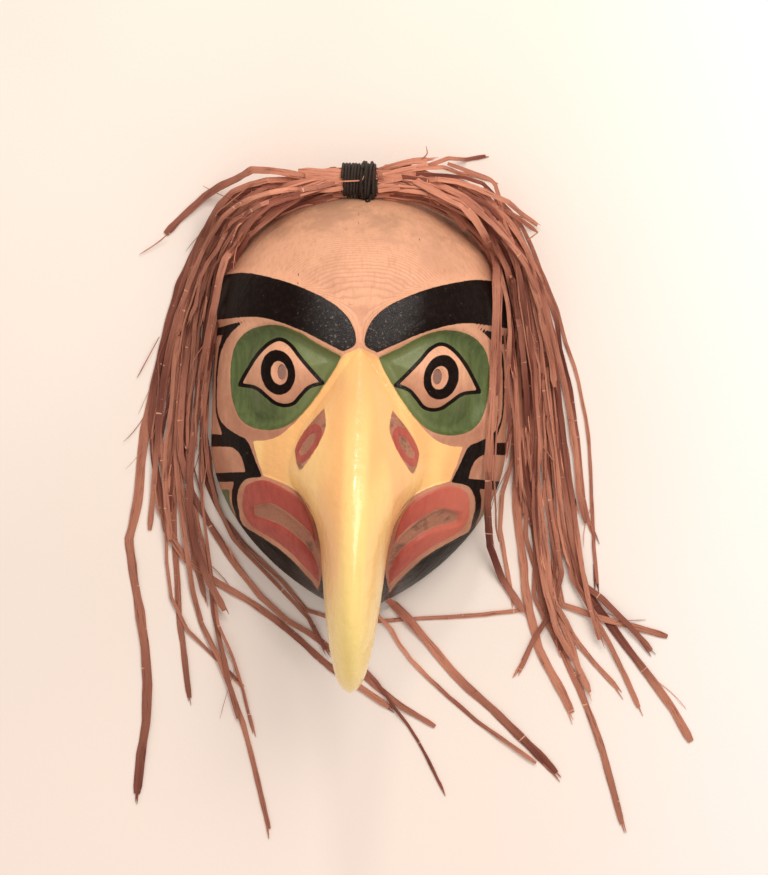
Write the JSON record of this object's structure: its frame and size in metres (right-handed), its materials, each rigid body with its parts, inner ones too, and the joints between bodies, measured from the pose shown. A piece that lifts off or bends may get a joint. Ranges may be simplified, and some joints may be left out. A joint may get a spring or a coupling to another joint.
{
  "type": "eagle mask",
  "caption": "Carved wooden eagle mask with an open back, drilled pupils and a long hooked beak, and loose hair of cedar bark strips bound at the brow.",
  "frame": {"origin": "middle of the bounding box on the surface that the back rim lies on", "axes": "+Y towards the top of the forehead, +Z out of the face, +X to the right seen from the front"},
  "size_m": [0.442, 0.5242, 0.18],
  "materials": {
    "painted_wood": "carved wood, bare and painted in yellow, green, red and black, satin",
    "cedar_bark": "dry fibrous bark strips, matte",
    "black_cord": "waxed cord"
  },
  "bodies": {
    "root": {"mask": "painted_wood", "binding": "black_cord", "bark_bundle": "cedar_bark", "left_strip_01": "cedar_bark", "left_strip_02": "cedar_bark", "left_strip_03": "cedar_bark", "left_strip_04": "cedar_bark", "left_strip_05": "cedar_bark", "left_strip_06": "cedar_bark", "left_strip_07": "cedar_bark", "left_strip_08": "cedar_bark", "left_strip_09": "cedar_bark", "left_strip_10": "cedar_bark", "left_strip_11": "cedar_bark", "left_strip_12": "cedar_bark", "left_strip_13": "cedar_bark", "right_strip_01": "cedar_bark", "right_strip_02": "cedar_bark", "right_strip_03": "cedar_bark", "right_strip_04": "cedar_bark", "right_strip_05": "cedar_bark", "right_strip_06": "cedar_bark", "right_strip_07": "cedar_bark", "right_strip_08": "cedar_bark", "right_strip_09": "cedar_bark", "right_strip_10": "cedar_bark", "right_strip_11": "cedar_bark", "right_strip_12": "cedar_bark", "right_strip_13": "cedar_bark", "right_strip_14": "cedar_bark", "right_strip_15": "cedar_bark", "crown_strip_01": "cedar_bark", "crown_strip_02": "cedar_bark", "crown_strip_03": "cedar_bark", "crown_strip_04": "cedar_bark", "under_strip_01": "cedar_bark", "under_strip_02": "cedar_bark", "under_strip_03": "cedar_bark"}
  },
  "joints": []
}
